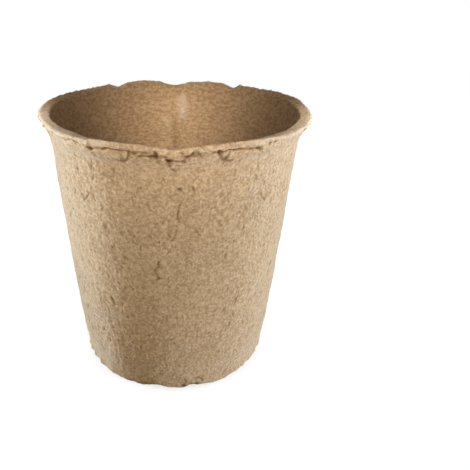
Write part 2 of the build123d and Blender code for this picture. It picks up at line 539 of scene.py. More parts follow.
def section_stretches():
    """The closed section of the shell as named stretches: corners, step, relief and fuzz."""
    mouth_taper = (mouth_radius - wall_inside(BEND_LEVEL)) / (mouth_level - BEND_LEVEL)
    lip_end_radius = mouth_radius - mouth_taper * (mouth_level - LIP_END_LEVEL)
    floor_edge = wall_inside(FLOOR_THICKNESS) - INNER_HEEL
    inner_heel_top = FLOOR_THICKNESS + INNER_HEEL
    foot = (foot_radius, base_top, 0)
    head = (head_radius, collar_bottom, 0)
    root = (root_radius, root_level, 0)
    lip_foot = (RIM_RADIUS, HEIGHT - lip_upright, 0)
    lip_end = (lip_end_radius, LIP_END_LEVEL, 0)
    inner_head = (wall_inside(collar_bottom), collar_bottom, 0)
    inner_foot = (wall_inside(base_top), base_top, 0)
    drain_top = (DRAIN_RADIUS, FLOOR_THICKNESS, 0)
    drain_foot = (DRAIN_RADIUS, 0, 0)
    flat_edge = (base_radius - HEEL_WIDTH, 0, 0)
    floor_corner = (floor_edge, FLOOR_THICKNESS, 0)
    outer_bend = (wall_outside(BEND_LEVEL), BEND_LEVEL, BEND_RADIUS)
    inner_bend = (wall_inside(BEND_LEVEL), BEND_LEVEL, BEND_RADIUS)
    inner_heel = (wall_inside(inner_heel_top), inner_heel_top, 0)
    lip_edge = (RIM_RADIUS, HEIGHT, LIP_EDGE_RADIUS)
    crease = (mouth_radius, mouth_level, CREASE_RADIUS)
    return {
        "standing_face": ([drain_foot, flat_edge], FLAT_STEP, 0.2, 0.2),
        "heel": ([flat_edge, (base_radius, 0, HEEL_RADIUS), foot], HEEL_STEP, 0.9, 0.8),
        "wall_outer": ([foot, head], WALL_STEP, 1.0, 1.0),
        "collar_outer": ([head, outer_bend, root], COLLAR_STEP, 1.0, 1.0),
        "lip_under": ([root, lip_foot], LIP_STEP, 0.6, 0.8),
        "lip_top": ([lip_foot, lip_edge, crease, lip_end], LIP_STEP, 0.9, 2.4),
        "collar_inner": ([lip_end, inner_bend, inner_head], INSIDE_COLLAR_STEP, 0.45, 0.4),
        "wall_inner": ([inner_head, inner_foot], INSIDE_STEP, 0.45, 0.4),
        "heel_inner": ([inner_foot, inner_heel, floor_corner], INSIDE_STEP / 2, 0.4, 0.4),
        "floor": ([floor_corner, drain_top], FLAT_STEP, 0.4, 0.4),
        "drain": ([drain_top, drain_foot], FLAT_STEP / 2, 0.5, 0.0),
    }


def lay_section():
    """Radius, level, relief and fuzz of each ring of the shell, and the rings of each stretch."""
    rings = []
    relief = []
    fuzz = []
    span = {}
    for name, (corners, step, roughness, fibres) in section_stretches().items():
        points = rounded_path(corners, step)
        first = max(0, len(rings) - 1)
        for point in points[0 if not rings else 1:]:
            rings.append(point)
            relief.append(roughness)
            fuzz.append(fibres)
        span[name] = (first, len(rings) - 1)
    first, last = span["drain"]
    span["drain"] = (first, last - 1)
    width = 2 * SMOOTH_RINGS + 1
    padded = np.pad(relief[:-1], SMOOTH_RINGS, mode="wrap")
    smooth = np.convolve(padded, np.full(width, 1 / width), mode="valid")
    rings = np.array(rings[:-1])
    clear = soft_step(rings[:, 1] - FUZZ_LEVEL)
    return rings, smooth, np.array(fuzz[:-1]) * clear, span


def turn_from(start, turn):
    """The way round from one turn to another, from -180 to 180."""
    return (turn - start + 180) % 360 - 180


def bell(turn, middle, half_width):
    """1 at one turn, falling away over a half width on either side."""
    return np.exp(-((turn_from(middle, turn) / half_width) ** 2))


def soft_step(share):
    """0 below 0, 1 above 1, with a smooth climb between."""
    share = np.clip(share, 0, 1)
    return share * share * (3 - 2 * share)


def patch(turn, middle, half_width, ramp):
    """1 over a stretch of turns, with a fall at each end."""
    away = np.abs(turn_from(middle, turn))
    return soft_step((half_width - away) / ramp + 0.5)


def bells(turn, places):
    """A sum of bells, each with its turn, half width and height."""
    return sum(height * bell(turn, middle, half) for middle, half, height in places)


def patches(turn, places, ramp):
    """A sum of patches, each with its turn, half width and height."""
    return sum(height * patch(turn, middle, half, ramp) for middle, half, height in places)


def wander(turn, seed, waves, first):
    """A smooth closed random wave round the pot, from -1 to 1."""
    draws = np.random.default_rng(seed)
    total = np.zeros_like(turn)
    for k in range(first, first + waves):
        phase = draws.uniform(0, 2 * math.pi)
        total += draws.normal() / math.sqrt(k) * np.cos(np.radians(k * turn) + phase)
    return total / np.abs(total).max()


def lip_dents(turn):
    """Depth of the lip's folds and nicks at each turn, and the further drop of its edge."""
    depth = np.zeros_like(turn)
    drop = np.zeros_like(turn)
    for middle, dent_depth, dent_drop, width in LIP_DENTS:
        share = bell(turn, middle, math.degrees(width / 2 / RIM_RADIUS))
        depth = depth + share * dent_depth
        drop = drop + share * dent_drop
    return depth, drop


def lip_fall(turn, reach):
    """How far the lip sinks where it turns over outwards."""
    fall = np.zeros_like(reach)
    bulge = DROOP_BULGE * 4 * reach * (1 - reach)
    for middle, half_width, edge_drop, crease_lift in LIP_DROOPS:
        share = patch(turn, middle, half_width, DROOP_RAMP)
        fall = fall + share * (edge_drop * reach - crease_lift * (1 - reach) - bulge)
    return fall


def lip_fray(turn):
    """The ragged outline of the lip's edge."""
    side = 1 - patch(turn, 0, FRAY_FRONT_TURN, FRAY_RAMP)
    side = side - patch(turn, 180, FRAY_BACK_TURN, FRAY_RAMP)
    fray = FRAY_DEPTH + SIDE_FRAY_DEPTH * side
    ragged = RAGGED_DEPTH * wander(turn, SEED + 1, *RAGGED_WAVES)
    return ragged + fray * wander(turn, SEED + 6, *FRAY_WAVES)


def shape_rim(radius, level, outer, turn):
    """Bends the even rings of the rim into the uneven lip."""
    climb = np.clip((level - collar_bottom) / (mouth_level - collar_bottom), 0, 1) ** 2
    reach = np.clip((radius - mouth_radius) / LIP_WIDTH, 0, 1)
    depth, drop = lip_dents(turn)
    swell = SWELL_DEPTH * np.cos(np.radians(SWELL_COUNT * (turn - 180)))
    ragged = lip_fray(turn)
    near = outer * soft_step((level - root_level + FILL_HEIGHT) / FILL_HEIGHT)
    fill_share = FILL_SHARE + FRONT_FILL_SHARE * patch(turn, 0, FRONT_FILL_TURN, FRONT_FILL_RAMP)
    fill = fill_share * near * np.clip(RIM_RADIUS - radius, 0, None)
    down = (HEIGHT - LIP_EDGE_RADIUS - level) / (lip_upright - LIP_EDGE_RADIUS)
    chamfer = outer * reach * soft_step(down) * patches(turn, LIP_CHAMFERS, CHAMFER_RAMP)
    pinch = bells(turn, LIP_PINCHES) + chamfer
    behind = 1 - patch(turn, 0, NARROW_TURN, NARROW_RAMP)
    narrowing = NARROWING * (1 - outer) * (1 - reach) * behind
    shaped_radius = radius + climb * (swell + reach * (ragged - pinch) + narrowing) + fill
    shaped_level = level - climb * (depth + lip_fall(turn, reach) + reach * (drop + ragged))
    return shaped_radius, shaped_level


def raise_flaps(radius, level, turn):
    """How far the flaps of pulp under the lip stand out."""
    out = np.zeros_like(radius)
    for middle, low_half, high_half, low, high, thickness in LIP_FLAPS:
        climb = np.clip((level - low) / (high - low), 0, 1)
        half = low_half + (high_half - low_half) * climb
        beside = patch(turn, middle, half, FLAP_SIDE_RAMP)
        above = soft_step((level - low) / FLAP_LOW_RAMP + 0.5)
        below = soft_step((high - level) / FLAP_HIGH_RAMP + 0.5)
        out = np.maximum(out, thickness * beside * (above * below))
    return out


def shape_foot(radius, level, turn):
    """Draws the lower wall in and makes the heel's edge ragged."""
    wall_part = soft_step((radius - FLOOR_RADIUS) / FLOOR_RAMP)
    waist = WAIST_DEPTH * np.exp(-(((level - WAIST_LEVEL) / WAIST_SPREAD) ** 2))
    scallops = 1 - 2 * np.abs(wander(turn, SEED + 3, *SCALLOP_WAVES))
    low = np.exp(-((level / SCALLOP_HEIGHT) ** 2))
    edge_part = soft_step((radius - (base_radius - HEEL_WIDTH)) / HEEL_RAMP)
    uneven = np.abs(wander(turn, SEED + 4, *LIFT_WAVES))
    pinch = bells(turn, FOOT_PINCHES) * np.exp(-((level / PINCH_HEIGHT) ** 2))
    notch = bells(turn, HEEL_NOTCHES)
    shaped_radius = radius + wall_part * (SCALLOP_DEPTH * (scallops - 0.5) * low - waist - pinch)
    shaped_level = level + edge_part * low * (HEEL_LIFT * uneven + notch)
    return shaped_radius, shaped_level


def stray_marks():
    """Marks for the sides and back: short slits on the wall and arcs of crease under the lip."""
    draws = np.random.default_rng(SEED + 2)
    marks = []
    for _ in range(STRAY_COUNT):
        turn = draws.uniform(STRAY_TURN, 360 - STRAY_TURN)
        level = draws.uniform(*STRAY_LEVELS)
        length = draws.uniform(*STRAY_LENGTHS)
        lean = math.radians(draws.normal(0, STRAY_LEAN))
        rise = length * math.cos(lean)
        run = math.degrees(length * math.sin(lean) / wall_outside(level))
        middle = (turn + run * 0.5 + draws.normal(0, STRAY_BOW), level + rise * 0.5)
        line = [(turn, level), middle, (turn + run, level + rise)]
        marks.append((line, *[draws.uniform(*limits) for limits in STRAY_CUTS]))
    for start, stop in STRAY_CREASES:
        arc = stop - start
        count = round(arc / CREASE_STEP)
        turns = [start + arc * k / count for k in range(count + 1)]
        line = [(turn, CREASE_LEVEL + draws.normal(0, CREASE_SPREAD)) for turn in turns]
        marks.append((line, *CREASE_CUT))
        begin = start + draws.uniform(*HOOK_STARTS) * arc
        hook = [(begin + run, level) for run, level in HOOK_LINE]
        marks.append((hook, *HOOK_CUT, draws.uniform(*HOOK_SHADES)))
    return marks


def all_marks():
    """Every mark of the outside."""
    mirrored = [([(-turn, level) for turn, level in line], *rest) for line, *rest in PAIRED_MARKS]
    return PAIRED_MARKS + mirrored + LONE_MARKS + stray_marks()


def way_from(line, turn, level, radius):
    """Distance in millimetres from points of the shell to a mark's line."""
    nearest = np.full(radius.shape, np.inf)
    for start, stop in zip(line, line[1:]):
        across = np.radians(turn_from(start[0], turn)) * radius
        up = level - start[1]
        run = np.radians(stop[0] - start[0]) * radius
        rise = stop[1] - start[1]
        share = np.clip((across * run + up * rise) / (run * run + rise * rise + 1e-9), 0, 1)
        nearest = np.minimum(nearest, np.hypot(across - share * run, up - share * rise))
    return nearest


def ripple(turn, level, seed):
    """A smooth random field over the wall, from about -1 to 1."""
    draws = np.random.default_rng(seed)
    along = np.radians(turn) * mouth_radius
    total = np.zeros(np.broadcast(along, level).shape)
    for _ in range(RIPPLE_WAVES):
        lean = draws.uniform(0, 2 * math.pi)
        pace = 2 * math.pi / draws.uniform(*RIPPLE_LENGTHS)
        phase = draws.uniform(0, 2 * math.pi)
        total += np.sin(pace * (math.cos(lean) * along + math.sin(lean) * level) + phase)
    return total / math.sqrt(RIPPLE_WAVES)


def carve(radius, level, shade, turn, rows, marks, outward):
    """Cuts marks into the shell's outside, or its inside if not outward: painted shade in their
    grooves, painted light where their shade is below 0.
    """
    sign = 1.0 if outward else -1.0
    rows = np.array(rows)
    ring_levels = level[rows].mean(axis=1)
    for line, half_width, depth, tint in marks:
        margin = MARK_REACH * half_width + MARK_MARGIN
        low = min(point[1] for point in line) - margin - RING_MARGIN
        high = max(point[1] for point in line) + margin + RING_MARGIN
        spread = math.degrees(margin / LEAST_RADIUS)
        offsets = [point[0] - line[0][0] for point in line]
        beside = turn_from(line[0][0], turn[0])
        columns = np.where((beside > min(offsets) - spread) & (beside < max(offsets) + spread))[0]
        window = np.ix_(rows[(ring_levels > low) & (ring_levels < high)], columns)
        here = (turn[:, columns], level[window])
        sway = MARK_SWAY * ripple(*here, SEED + 7)
        bend = MARK_BEND * ripple(*here, SEED + 8)
        away = way_from(line, here[0] + sway, here[1] + bend, radius[window])
        width = half_width * (1 + MARK_SWELL * ripple(*here, SEED + 9))
        fading = np.clip(1 - MARK_FADE * (1 + ripple(*here, SEED + 10)), 0, 1)
        share = np.exp(-((away / width) ** 2)) * fading
        radius[window] -= sign * depth * share
        blended = shade[window] + (tint - shade[window]) * share
        stronger = np.maximum if tint > 0 else np.minimum
        shade[window] = stronger(shade[window], blended)


def grid_mesh(name, points):
    """A mesh of quads over rings of points. The last ring joins the first."""
    rings, columns = points.shape[:2]
    ring = np.arange(rings)[:, None] * columns
    above = (np.arange(rings)[:, None] + 1) % rings * columns
    column = np.arange(columns)[None, :]
    beside = (column + 1) % columns
    corners = [ring + column, ring + beside, above + beside, above + column]
    faces = np.stack(corners, axis=-1).reshape(-1, 4)
    mesh = bpy.data.meshes.new(name)
    mesh.from_pydata(points.reshape(-1, 3), [], faces)
    mesh.polygons.foreach_set("use_smooth", np.ones(len(faces), bool))
    return mesh


def set_numbers(mesh, name, values):
    """A number for each point of a mesh."""
    layer = mesh.attributes.new(name, "FLOAT", "POINT")
    layer.data.foreach_set("value", np.asarray(values, np.float32).ravel())


def get_numbers(mesh, name):
    """The numbers kept for each point of a mesh."""
    values = np.zeros(len(mesh.vertices), np.float32)
    mesh.attributes[name].data.foreach_get("value", values)
    return values


def relief_tree(material):
    """Roughens the shell: broad lumps, matted grain and small pits, which it darkens with painted
    shade.
    """
    graph, given = geometry_tree("pulp_relief", RELIEF_HEIGHTS)
    place = graph.node("GeometryNodeInputPosition")
    strength = graph.kept("relief")
    lumps = graph.noise(place, *LUMPS) - 0.5
    mat = graph.noise(place, *MATTING) - 0.5
    grain = graph.noise(place, *FINE_LUMPS) - 0.5
    pits = graph.ease(graph.noise(place, *PITS), *PIT_LIMITS)
    height = lumps * given.out("Lump Height") + mat * given.out("Mat Height")
    height = height + grain * given.out("Grain Height") - pits * given.out("Pit Depth")
    sockets = {0: graph.node("GeometryNodeInputNormal"), "Scale": height * strength}
    lift = graph.node("ShaderNodeVectorMath", {"operation": "SCALE"}, sockets, "Vector")
    moved = graph.node("GeometryNodeSetPosition", {}, {"Geometry": given, "Offset": lift})
    # Pits are darkened: painted shade in their hollows
    shade = graph.kept("shade") + pits * strength * PIT_SHADE
    end_tree(graph, graph.keep(moved, "POINT", "shade", shade), material)
    return graph.tree


def paint_lip_light(section, turn):
    """How far the rings of the rim's outside and lip are given painted light, and their shade for it.
    """
    front = patch(turn, 0, FRONT_PAINTED_LIGHT_TURN, FRONT_PAINTED_LIGHT_RAMP)
    climb = soft_step((section[:, 1:] - PAINTED_LIGHT_LEVEL) / PAINTED_LIGHT_HEIGHT)
    top = soft_step((section[:, :1] - mouth_radius + PAINTED_LIGHT_MARGIN) / PAINTED_LIGHT_WIDTH)
    lit_top = climb * top * front
    sides = patches(turn, PAINTED_LIGHT_SIDES, PAINTED_LIGHT_RAMP)
    uneven = 1 + PAINTED_LIGHT_UNEVEN * wander(turn, SEED + 5, *PAINTED_LIGHT_WAVES)
    edge = soft_step((section[:, :1] - RIM_RADIUS + 2 * LIP_EDGE_RADIUS) / LIP_EDGE_RADIUS)
    edge_light = EDGE_PAINTED_LIGHT + BACK_EDGE_PAINTED_LIGHT * (1 - front)
    return np.maximum(lit_top, edge), -lit_top * (sides * uneven) - edge_light * edge


def shape_shell():
    """The rings before their relief: points, relief, fuzz, shade, nap, inward side and spans."""
    section, relief, fuzz, span = lay_section()
    turn = np.arange(COLUMNS)[None, :] * 360.0 / COLUMNS
    radius = section[:, :1] + 0 * turn
    level = section[:, 1:] + 0 * turn
    shade = np.zeros_like(radius)
    collar = span["collar_outer"][0]
    first, last = span["lip_top"]
    outer = np.zeros((len(section), 1))
    outer[:first] = 1
    outer[first:last] = section[first:last, :1] > RIM_RADIUS - LIP_EDGE_RADIUS
    rim = slice(collar, span["collar_inner"][1] + 1)
    radius[rim], level[rim] = shape_rim(radius[rim], level[rim], outer[rim], turn)
    under = slice(collar, span["lip_under"][1] + 1)
    radius[under] += raise_flaps(radius[under], level[under], turn)
    for part in ("standing_face", "heel", "wall_outer", "wall_inner", "heel_inner", "floor"):
        start, stop = span[part]
        foot = slice(start + (part in ("heel", "wall_outer")), stop + 1)
        radius[foot], level[foot] = shape_foot(radius[foot], level[foot], turn)
    # The lip's top and edge and the collar under it are made paler: painted light
    lit_share, shade[collar:last] = paint_lip_light(section[collar:last], turn)
    nap = outer[:, 0] * (1 - (1 - LIP_NAP) * soft_step((section[:, 1] - NAP_LEVEL) / NAP_RAMP))
    inward = 1 - outer + 0 * turn
    inward[first:last] = np.minimum(inward[first:last], 1 - lit_share[first - last:])
    outside_rows = [row for row in range(span["heel"][0], last) if outer[row]]
    carve(radius, level, shade, turn, outside_rows, all_marks(), True)
    inside_rows = range(span["collar_inner"][0], span["wall_inner"][1])
    carve(radius, level, shade, turn, inside_rows, INNER_MARKS, False)
    angle = np.radians(turn)
    points = np.stack([radius * np.sin(angle), -radius * np.cos(angle), level], axis=-1) * MM
    return points, relief, fuzz, shade, nap, inward, span


def make_shell(material):
    """The whole moulding with its relief: an object, what its points carry, and the spans."""
    points, relief, fuzz, shade, nap, inward, span = shape_shell()
    mesh = grid_mesh("shell", points)
    even = np.zeros(points.shape[:2])
    set_numbers(mesh, "relief", relief[:, None] + even)
    set_numbers(mesh, "fuzz", fuzz[:, None] * np.clip(1 - FUZZ_LOSS * shade, 0, 1))
    set_numbers(mesh, "shade", shade)
    shell = add_object("shell", mesh)
    sizes = {label: height * MM for label, height in RELIEF_HEIGHTS.items()}
    run_tree(shell, relief_tree(material), sizes)
    grown = np.zeros(points.size, np.float32)
    shell.data.vertices.foreach_get("co", grown)
    normals = np.zeros(points.size, np.float32)
    shell.data.vertex_normals.foreach_get("vector", normals)
    shade = get_numbers(shell.data, "shade").reshape(points.shape[:2])
    grown = grown.reshape(points.shape)
    grown[..., 2] = np.maximum(grown[..., 2], 0)
    numbers = {"shade": shade, "nap": nap[:, None] + even, "inward": inward}
    return shell, (grown, normals.reshape(points.shape), numbers), span


def make_zone(name, rows, shell, material):
    """One zone of the moulding, closed by level faces where the zones meet."""
    points, normals, numbers = shell
    mesh = grid_mesh(name, points[rows])
    for label, values in numbers.items():
        set_numbers(mesh, label, values[rows])
    mesh.materials.append(material)
    cut = np.roll(rows, -1) != (np.array(rows) + 1) % len(points)
    level_faces = np.repeat(np.repeat(cut, COLUMNS), 4)
    mesh.update()
    loops = np.zeros(len(mesh.loops), np.int32)
    mesh.loops.foreach_get("vertex_index", loops)
    given = normals[rows].reshape(-1, 3)[loops]
    face_normals = np.zeros(len(mesh.polygons) * 3, np.float32)
    mesh.polygons.foreach_get("normal", face_normals)
    given[level_faces] = np.repeat(face_normals.reshape(-1, 3), 4, axis=0)[level_faces]
    mesh.normals_split_custom_set(given)
    return add_object(name, mesh)


def one_fibre(graph, bend):
    """One thin fibre along X, bent sideways, its tapered ends dipping into the surface."""
    half = FIBRE_LENGTH / 2 * MM
    dip = -FIBRE_DIP * FIBRE_RADIUS * MM
    line = {
        "Resolution": FIBRE_STEPS,
        "Start": (-half, 0, dip),
        "Middle": (0, bend * FIBRE_LENGTH * MM, FIBRE_RISE * FIBRE_RADIUS * MM),
        "End": (half, 0, dip),
    }
    ring = {"Resolution": FIBRE_SIDES, "Radius": FIBRE_RADIUS * MM}
    along = graph.node("GeometryNodeSplineParameter", {}, {}, "Factor")
    tube = {
        "Curve": graph.node("GeometryNodeCurveQuadraticBezier", {}, line),
        "Profile Curve": graph.node("GeometryNodeCurvePrimitiveCircle", {}, ring),
        "Scale": 1 - FIBRE_TAPER * abs(along * 2 - 1) ** 3,
        "Fill Caps": True,
    }
    return graph.node("GeometryNodeCurveToMesh", {}, tube)


def random_number(graph, low, high, seed):
    """A different number for each point."""
    sockets = {"Min_001": low, "Max_001": high, "Seed": seed}
    return graph.node("FunctionNodeRandomValue", {"data_type": "FLOAT"}, sockets, "Value_001")


def fibre_tree(material):
    """Lays short bent fibres on the shell, each turned its own way."""
    graph, given = geometry_tree("surface_fibres", ["Density"])
    scatter = {"Mesh": given, "Density": graph.kept("fuzz") * given.out("Density"), "Seed": SEED}
    points = graph.node("GeometryNodeDistributePointsOnFaces", {}, scatter, "Points")
    spin = {"Axis": (0, 0, 1), "Angle": random_number(graph, 0, 2 * math.pi, SEED + 1)}
    turned = {
        "Rotation": points.out("Rotation"),
        "Rotate By": graph.node("FunctionNodeAxisAngleToRotation", {}, spin),
    }
    kinds = [one_fibre(graph, bend) for bend in FIBRE_BENDS]
    lay = {
        "Points": points,
        "Instance": graph.node("GeometryNodeGeometryToInstance", {}, {0: kinds}),
        "Pick Instance": True,
        "Rotation": graph.node("FunctionNodeRotateRotation", {"rotation_space": "LOCAL"}, turned),
        "Scale": random_number(graph, *FIBRE_SCALES, SEED + 2),
    }
    laid = graph.node("GeometryNodeInstanceOnPoints", {}, lay)
    tone = random_number(graph, 0, 1, SEED + 3)
    end_tree(graph, graph.keep(laid, "INSTANCE", "tone", tone), material)
    return graph.tree


def shader(name):
    """A new material and the graph of its nodes."""
    material = bpy.data.materials.new(name)
    material.use_nodes = True
    material.node_tree.nodes.clear()
    return material, Graph(material.node_tree)


def finish_material(graph, sockets, nap):
    """A matt surface, and where the nap is full the same surface with a soft sheen."""
    matt = {**sockets, "Specular IOR Level": GLOSS}
    sheen = {"Sheen Weight": SHEEN, "Sheen Roughness": SHEEN_ROUGHNESS}
    bare = graph.node("ShaderNodeBsdfPrincipled", {}, matt)
    furred = graph.node("ShaderNodeBsdfPrincipled", {}, {**matt, **sheen})
    surface = graph.node("ShaderNodeMixShader", {}, {0: nap, 1: bare, 2: furred})
    graph.node("ShaderNodeOutputMaterial", {}, {"Surface": surface})


# Colours of the pulp, as light reflected
PULP_DEEP = (0.335, 0.205, 0.098, 1)
PULP_PALE = (0.565, 0.392, 0.222, 1)
FIBRE_PALE = (0.66, 0.5, 0.32, 1)
FLECK_DARK = (0.2, 0.115, 0.05, 1)
# Painted shade in pits, grooves and creases
PIT_DARK = (0.12, 0.06, 0.02, 1)
CHIP_PALE = (0.78, 0.63, 0.45, 1)
# Painted light on the lip and on pale marks
PAINTED_LIGHT_PALE = (0.74, 0.62, 0.5, 1)
# Inside colours: partly the inner face's own tone, partly painted shade inside the mouth
INNER_DEEP = (0.262, 0.142, 0.06, 1)
INNER_PALE = (0.424, 0.258, 0.122, 1)
# Sheen of the nap, gloss, roughness, and how strongly marks darken the pulp with painted shade
SHEEN = 0.5
SHEEN_ROUGHNESS = 0.45
GLOSS = 0.25
PULP_ROUGHNESS = 0.95
THREAD_SMOOTHNESS = 0.12
MARK_STRENGTH = 1.45
# Patterns in the pulp, given as those of the relief are
CLOUDS = (8.0, 2.0)
MOTTLE = (1.8, 2.0, 0.5, 0.4)
GRAIN = (0.6, 2.0, 0.6)
FELT = (1.2, 2, 0.5, 1.4, (1, 1, 1.3), (0, 0, 0))
LIE = (1.1, 2, 0.65, 0, (1, 1, 1.7), (0.3, 0.1, 0))
STREAKS = (0.4, 2.0)
# Where in a pattern its colour starts to show, and where it is full
THREAD_LIMITS = (0.0, 0.12)
TONE_LIMITS = (0.34, 0.66)
LIE_LIMITS = (0.37, 0.63)
FIBRE_LIMITS = (0.1, 1.0)
# How much of each colour shows where it is full
THREAD_SHARE = 0.25
INNER_SHARE = 0.78
PIT_SHARE = 0.95
PAINTED_LIGHT_SHARE = 0.85
STREAK_SHARE = 0.4
# What each pattern gives to the tone and to the bump, and the bump's depth and strength
CLOUD_TONE = 0.1
MOTTLE_TONE = 0.15
GRAIN_TONE = 0.75
MOTTLE_BUMP = 0.3
THREAD_BUMP = 0.15
BUMP_DEPTH = 0.24
BUMP_STRENGTH = 0.8
# Dark and pale specks: pattern, where it starts and is full, share, colour, height in the bump
SPECKS = [
    ((0.6, 1, 0.5, 0, (1, 1, 0.6), (0.1, 0.2, 0)), (0.64, 0.72), 0.55, FLECK_DARK, -0.4),
    ((0.55, 1, 0.5, 0, (1, 1, 1), (0.2, 0, 0.1)), (0.66, 0.74), 0.45, CHIP_PALE, 0.3),
]
# A fibre's share of sheen, its roughness, and what streaks add to that
FIBRE_NAP = 0.2
FIBRE_ROUGHNESS = 0.8
STREAK_ROUGHNESS = 0.2


def make_pulp():
    """Dry moulded pulp: matted brown fibre with mottling, flecks and pits. Pits and marks have
    painted shade, the lip painted light, and the inside a darker tone that is partly painted shade.
    """
    material, graph = shader("pulp")
    place = graph.node("ShaderNodeTexCoord", {}, {}, "Object")
    shade = graph.painted("shade")
    dark = graph.node("ShaderNodeClamp", {}, {"Value": shade * MARK_STRENGTH})
    mottle = graph.noise(place, *MOTTLE)
    grain = graph.noise(place, *GRAIN)
    threads = 1 - graph.ease(abs(graph.noise(place, *FELT) * 2 - 1), *THREAD_LIMITS)
    tone = graph.noise(place, *CLOUDS) * CLOUD_TONE + mottle * MOTTLE_TONE + grain * GRAIN_TONE
    colour = graph.blend(graph.ease(tone, *TONE_LIMITS), PULP_DEEP, PULP_PALE)
    colour = graph.blend(threads * THREAD_SHARE, colour, FIBRE_PALE)
    height = mottle * MOTTLE_BUMP + grain + threads * THREAD_BUMP
    for pattern, limits, share, paint, lift in SPECKS:
        specks = graph.ease(graph.noise(place, *pattern), *limits)
        colour = graph.blend(specks * share, colour, paint)
        height = height + specks * lift
    lie = graph.ease(graph.noise(place, *LIE), *LIE_LIMITS)
    inner = graph.blend(lie, INNER_DEEP, INNER_PALE)
    # The inside and the lip's top take the darker inner colours: partly their own tone, partly
    # painted shade
    colour = graph.blend(graph.painted("inward") * INNER_SHARE, colour, inner)
    # Marks and pits are darkened: painted shade
    colour = graph.blend(dark * PIT_SHARE, colour, PIT_DARK)
    # Where the shade is below 0 the pulp is paler: painted light on the lip and pale marks
    colour = graph.blend(graph.ease(0 - shade, 0.0, 1.0) * PAINTED_LIGHT_SHARE, colour, PAINTED_LIGHT_PALE)
    bump = {"Strength": BUMP_STRENGTH, "Distance": BUMP_DEPTH * MM, "Height": height}
    sockets = {
        "Base Color": colour,
        "Roughness": PULP_ROUGHNESS - threads * THREAD_SMOOTHNESS,
        "Normal": graph.node("ShaderNodeBump", {}, bump, "Normal"),
    }
    finish_material(graph, sockets, graph.painted("nap") * (1 - dark) ** 2)
    return material


def make_fibre():
    """Single fibres of the pulp, from straw to bark brown."""
    material, graph = shader("pulp_fibre")
    place = graph.node("ShaderNodeTexCoord", {}, {}, "Object")
    streaks = graph.noise(place, *STREAKS)
    tone = graph.ease(graph.painted("tone"), *FIBRE_LIMITS)
    colour = graph.blend(tone, PULP_DEEP, FIBRE_PALE)
    colour = graph.blend(streaks * STREAK_SHARE, colour, PULP_PALE)
    roughness = FIBRE_ROUGHNESS + streaks * STREAK_ROUGHNESS
    finish_material(graph, {"Base Color": colour, "Roughness": roughness}, FIBRE_NAP)
    return material


# Picture: the square frame, and where the pot's axis and aim point fall in it
IMAGE_SIDE = 470.0
AIM_X = 174.5
AIM_Y = 229.5
FOCAL_LENGTH = 588.0
SENSOR = 36.0
CAMERA_PLACE = (0.0, -129.0, 90.0)
CAMERA_AIM = (0.0, 0.0, 30.0)
NEAR_LIMIT = 5.0


def place_and_aim(data, place, aim):
    """Puts the camera or a lamp in place and points it."""
    holder = add_object(data.name, data)
    holder.location = Vector(place) * MM
    holder.rotation_euler = (Vector(aim) - Vector(place)).to_track_quat("-Z", "Y").to_euler()
    return holder


def add_camera():
    """Camera a little above the rim, with the pot to one side of the frame."""
    camera = bpy.data.cameras.new("camera")
    camera.sensor_width = SENSOR
    camera.lens = FOCAL_LENGTH / IMAGE_SIDE * SENSOR
    camera.shift_x = (IMAGE_SIDE / 2 - AIM_X) / IMAGE_SIDE
    camera.shift_y = (AIM_Y - IMAGE_SIDE / 2) / IMAGE_SIDE
    camera.clip_start = NEAR_LIMIT * MM
    bpy.context.scene.camera = place_and_aim(camera, CAMERA_PLACE, CAMERA_AIM)


# Soft lamps that stand below the rim: name, turn round the pot, power in watts, spread of the beam
# in degrees, level on the pot's axis that it is aimed at, colour
SHADE = (0.6, 0.76, 1.0)
COOL = (0.74, 0.9, 1.0)
CLEAR = (0.92, 0.96, 1.0)
PLAIN = (1.0, 1.0, 1.0)
WARM = (1.0, 0.88, 0.68)
LAMPS = [
    ("right_front_lamp", 70, 0.385, 75, 52, CLEAR),
    ("right_lamp", 113, 0.25, 75, 55, COOL),
    ("left_lamp", -112, 0.49, 75, 5, COOL),
    ("left_front_lamp", -45, 0.058, 38, 55, WARM),
]
LAMP_DISTANCE = 400.0
LAMP_WIDTH = 100.0
LAMP_HEIGHT = 80.0
LAMP_LEVEL = 25.0
# Small soft lamps: distance of the first two from what they are aimed at, then for each its name,
# place, aim, power in watts, radius, width and softness of its cone, colour.
# One reaches into the mouth from over the camera, and one lights the upper wall at the left.
# Three stand above the lip, with beams that slope as the wall does.
SPOT_DISTANCE = 350.0
MOUTH_AIM = (1.0, 26.0, 50.0)
SHOULDER_AIM = (-15.6, -21.4, 45.0)


def stand_off(aim, turn, climb):
    """A place from which a beam comes to its aim at a turn and a climb in degrees."""
    turn = math.radians(turn)
    climb = math.radians(climb)
    beam = (math.sin(turn) * math.cos(climb), -math.cos(turn) * math.cos(climb), math.sin(climb))
    return Vector(aim) + Vector(beam) * SPOT_DISTANCE


SPOT_LAMPS = [
    ("mouth_lamp", stand_off(MOUTH_AIM, 0, 32.5), MOUTH_AIM, 8.4, 20, 7.7, 0.75, PLAIN),
    ("shoulder_lamp", stand_off(SHOULDER_AIM, -88, -4), SHOULDER_AIM, 5.6, 20, 6.5, 1.0, SHADE),
    ("lip_lamp", (0, -70, 460), (0, -22, 60), 2.7, 25, 9.6, 0.3, PLAIN),
    ("right_lip_lamp", (64, -5, 460), (25.5, -5, 60), 4.2, 8, 3.9, 0.6, PLAIN),
    ("left_lip_lamp", (-64, -5, 460), (-25.5, -5, 60), 4.2, 8, 3.9, 0.6, PLAIN),
]


def new_lamp(kind, name, power, colour):
    """A lamp of one kind."""
    lamp = bpy.data.lights.new(name, kind)
    lamp.energy = power
    lamp.color = colour
    return lamp


